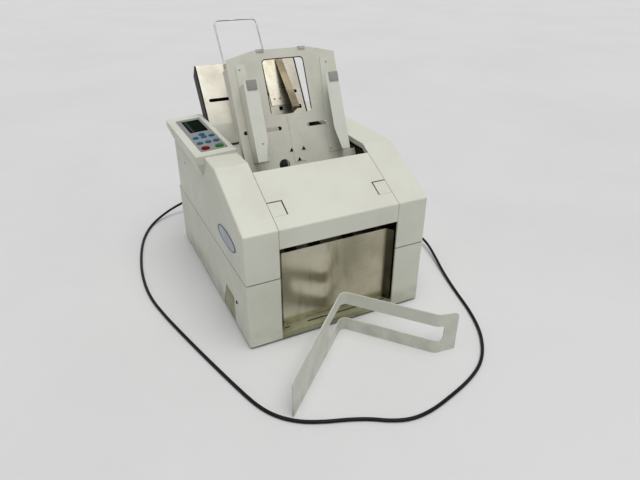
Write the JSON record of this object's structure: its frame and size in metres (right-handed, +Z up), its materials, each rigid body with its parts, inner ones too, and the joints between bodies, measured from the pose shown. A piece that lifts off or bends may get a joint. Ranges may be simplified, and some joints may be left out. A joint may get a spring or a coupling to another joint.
{
  "type": "folding and inserting machine",
  "caption": "Desktop sheet folding and inserting machine with inclined hoppers, sliding guides, hinged lid, keypad console, delivery bay, mains cord and a loose stacker bracket.",
  "frame": {"origin": "middle of the machine footprint on the table, under the feet", "axes": "+X to the right seen from the front, +Y to the rear, +Z up"},
  "size_m": [0.7559, 1.0229, 0.573],
  "materials": {
    "cover_plastic": "warm light grey, fine matt",
    "console_plastic": "warm light grey, fine matt",
    "overlay_film": "lilac grey printed film",
    "display_pane": "dark green-black pane",
    "key_blue": "soft blue",
    "key_red": "soft red",
    "key_green": "soft green",
    "feed_white": "off-white paint, satin",
    "guide_white": "off-white paint, satin",
    "stainless": "brushed, stained",
    "bright_steel": "ground",
    "chromate_steel": "yellow chromate",
    "frame_steel": "dark olive chromate",
    "dark_plastic": "black",
    "black_rubber": "matt",
    "rack_plastic": "grey moulding",
    "board": "green board",
    "motor_can": "dark",
    "supply_case": "plain sheet",
    "bracket_paint": "light grey paint",
    "wire": "plated wire"
  },
  "bodies": {
    "chassis": {"base_plate": "chromate_steel", "rubber_feet": "black_rubber", "left_side_frame": "frame_steel", "right_side_frame": "frame_steel", "tie_bars": "bright_steel", "left_lower_cover": "cover_plastic", "right_lower_cover": "cover_plastic", "left_upper_cover": "cover_plastic", "right_upper_cover": "cover_plastic", "console_housing": "console_plastic", "console_overlay": "overlay_film", "display_window": "display_pane", "control_board": "board", "rear_panel": "supply_case", "rear_upper_cover": "cover_plastic", "lid_hinge_pins": "bright_steel", "delivery_plate": "stainless", "drive_motor": "motor_can", "drive_belt": "black_rubber", "power_supply": "supply_case", "feed_plate": "feed_white", "pinion_cover": "feed_white", "plate_clips": "cover_plastic", "sheet_deck": "feed_white", "rear_plate": "stainless", "rear_cheeks": "dark_plastic", "mains_inlet": "dark_plastic", "cord_connector": "dark_plastic", "power_cord": "dark_plastic", "mains_plug": "dark_plastic"},
    "lid": {"top_lid": "cover_plastic"},
    "left_tab": {"lid_tab_left": "cover_plastic"},
    "right_tab": {"lid_tab_right": "cover_plastic"},
    "delivery_roller": {"delivery_shaft": "bright_steel", "delivery_rollers": "black_rubber"},
    "front_feed_roller": {"front_feed_shaft": "bright_steel", "front_feed_rollers": "black_rubber"},
    "rear_feed_roller": {"rear_feed_shaft": "bright_steel", "rear_feed_rollers": "black_rubber"},
    "motor_rotor": {"motor_pulley": "bright_steel"},
    "idler": {"idler_wheel": "black_rubber"},
    "left_guide": {"left_sheet_guide": "guide_white", "left_guide_rack": "rack_plastic"},
    "right_guide": {"right_sheet_guide": "guide_white", "right_guide_rack": "rack_plastic"},
    "pinion": {"guide_pinion": "rack_plastic"},
    "left_rear_guide": {"left_rear_guide": "chromate_steel"},
    "right_rear_guide": {"right_rear_guide": "chromate_steel"},
    "wire_support": {"wire_support": "wire"},
    "rocker": {"power_switch": "dark_plastic"},
    "bracket": {"stacker_bracket": "bracket_paint"},
    "key_up": {"key_up": "key_blue"},
    "key_left": {"key_left": "key_blue"},
    "key_down": {"key_down": "key_blue"},
    "key_right": {"key_right": "key_blue"},
    "key_menu": {"key_menu": "key_blue"},
    "key_select": {"key_select": "key_blue"},
    "key_clear": {"key_clear": "key_blue"},
    "key_stop": {"key_stop": "key_red"},
    "key_start": {"key_start": "key_green"}
  },
  "joints": [
    {"name": "lid_hinge", "type": "hinge", "parent": "chassis", "child": "lid", "pos_m": [0, -0.158, 0.311], "axis": [-1, 0, 0], "range_deg": [0, 75]},
    {"name": "left_tab_press", "type": "hinge", "parent": "lid", "child": "left_tab", "pos_m": [-0.122, -0.24864, 0.283], "axis": [-1, 0, 0], "range_deg": [0, 6], "stiffness_Nm_per_rad": 0.3},
    {"name": "right_tab_press", "type": "hinge", "parent": "lid", "child": "right_tab", "pos_m": [0.122, -0.24864, 0.283], "axis": [-1, 0, 0], "range_deg": [0, 6], "stiffness_Nm_per_rad": 0.3},
    {"name": "front_feed_turn", "type": "hinge", "parent": "chassis", "child": "front_feed_roller", "pos_m": [0, -0.07645, 0.2941], "axis": [1, 0, 0], "continuous": true},
    {"name": "delivery_turn", "type": "hinge", "parent": "chassis", "child": "delivery_roller", "pos_m": [0, -0.233, 0.218], "axis": [1, 0, 0], "continuous": true},
    {"name": "rear_feed_turn", "type": "hinge", "parent": "chassis", "child": "rear_feed_roller", "pos_m": [0, 0.17753, 0.32201], "axis": [1, 0, 0], "continuous": true},
    {"name": "motor_turn", "type": "hinge", "parent": "chassis", "child": "motor_rotor", "pos_m": [0, 0.05, 0.09], "axis": [1, 0, 0], "continuous": true},
    {"name": "idler_turn", "type": "hinge", "parent": "chassis", "child": "idler", "pos_m": [-0.0395, -0.0721, 0.31373], "axis": [1, 0, 0], "continuous": true},
    {"name": "left_guide_slide", "type": "slide", "parent": "chassis", "child": "left_guide", "axis": [1, 0, 0], "range_m": [-0.005, 0.055]},
    {"name": "right_guide_slide", "type": "slide", "parent": "chassis", "child": "right_guide", "axis": [-1, 0, 0], "range_m": [-0.005, 0.055]},
    {"name": "pinion_turn", "type": "hinge", "parent": "chassis", "child": "pinion", "pos_m": [0, -0.04506, 0.38981], "axis": [0, -0.9135, 0.4067], "range_deg": [-394, 36]},
    {"name": "left_rear_guide_slide", "type": "slide", "parent": "chassis", "child": "left_rear_guide", "axis": [1, 0, 0], "range_m": [-0.07, 0.002]},
    {"name": "right_rear_guide_slide", "type": "slide", "parent": "chassis", "child": "right_rear_guide", "axis": [1, 0, 0], "range_m": [-0.036, 0.033]},
    {"name": "wire_slide", "type": "slide", "parent": "chassis", "child": "wire_support", "axis": [0, 0.5519, 0.8339], "range_m": [-0.038, 0]},
    {"name": "rocker_turn", "type": "hinge", "parent": "chassis", "child": "rocker", "pos_m": [-0.062, 0.2706, 0.06], "axis": [1, 0, 0], "range_deg": [0, 14]},
    {"name": "bracket_lift", "type": "slide", "parent": "chassis", "child": "bracket", "axis": [0, 0, 1], "range_m": [0, 0.15]},
    {"name": "key_up_press", "type": "slide", "parent": "chassis", "child": "key_up", "axis": [0.0593, 0, -0.9982], "range_m": [0, 0.0012], "stiffness_N_per_m": 600},
    {"name": "key_left_press", "type": "slide", "parent": "chassis", "child": "key_left", "axis": [0.0593, 0, -0.9982], "range_m": [0, 0.0012], "stiffness_N_per_m": 600},
    {"name": "key_down_press", "type": "slide", "parent": "chassis", "child": "key_down", "axis": [0.0593, 0, -0.9982], "range_m": [0, 0.0012], "stiffness_N_per_m": 600},
    {"name": "key_right_press", "type": "slide", "parent": "chassis", "child": "key_right", "axis": [0.0593, 0, -0.9982], "range_m": [0, 0.0012], "stiffness_N_per_m": 600},
    {"name": "key_menu_press", "type": "slide", "parent": "chassis", "child": "key_menu", "axis": [0.0593, 0, -0.9982], "range_m": [0, 0.0012], "stiffness_N_per_m": 600},
    {"name": "key_select_press", "type": "slide", "parent": "chassis", "child": "key_select", "axis": [0.0593, 0, -0.9982], "range_m": [0, 0.0012], "stiffness_N_per_m": 600},
    {"name": "key_clear_press", "type": "slide", "parent": "chassis", "child": "key_clear", "axis": [0.0593, 0, -0.9982], "range_m": [0, 0.0012], "stiffness_N_per_m": 600},
    {"name": "key_stop_press", "type": "slide", "parent": "chassis", "child": "key_stop", "axis": [0.0593, 0, -0.9982], "range_m": [0, 0.0012], "stiffness_N_per_m": 600},
    {"name": "key_start_press", "type": "slide", "parent": "chassis", "child": "key_start", "axis": [0.0593, 0, -0.9982], "range_m": [0, 0.0012], "stiffness_N_per_m": 600}
  ],
  "couplings": [
    {"joint": "delivery_turn", "follows": "front_feed_turn", "ratio": 1},
    {"joint": "rear_feed_turn", "follows": "front_feed_turn", "ratio": 1},
    {"joint": "motor_turn", "follows": "front_feed_turn", "ratio": 1},
    {"joint": "right_guide_slide", "follows": "left_guide_slide", "ratio": 1},
    {"joint": "pinion_turn", "follows": "left_guide_slide", "rad_per_m": -125}
  ]
}
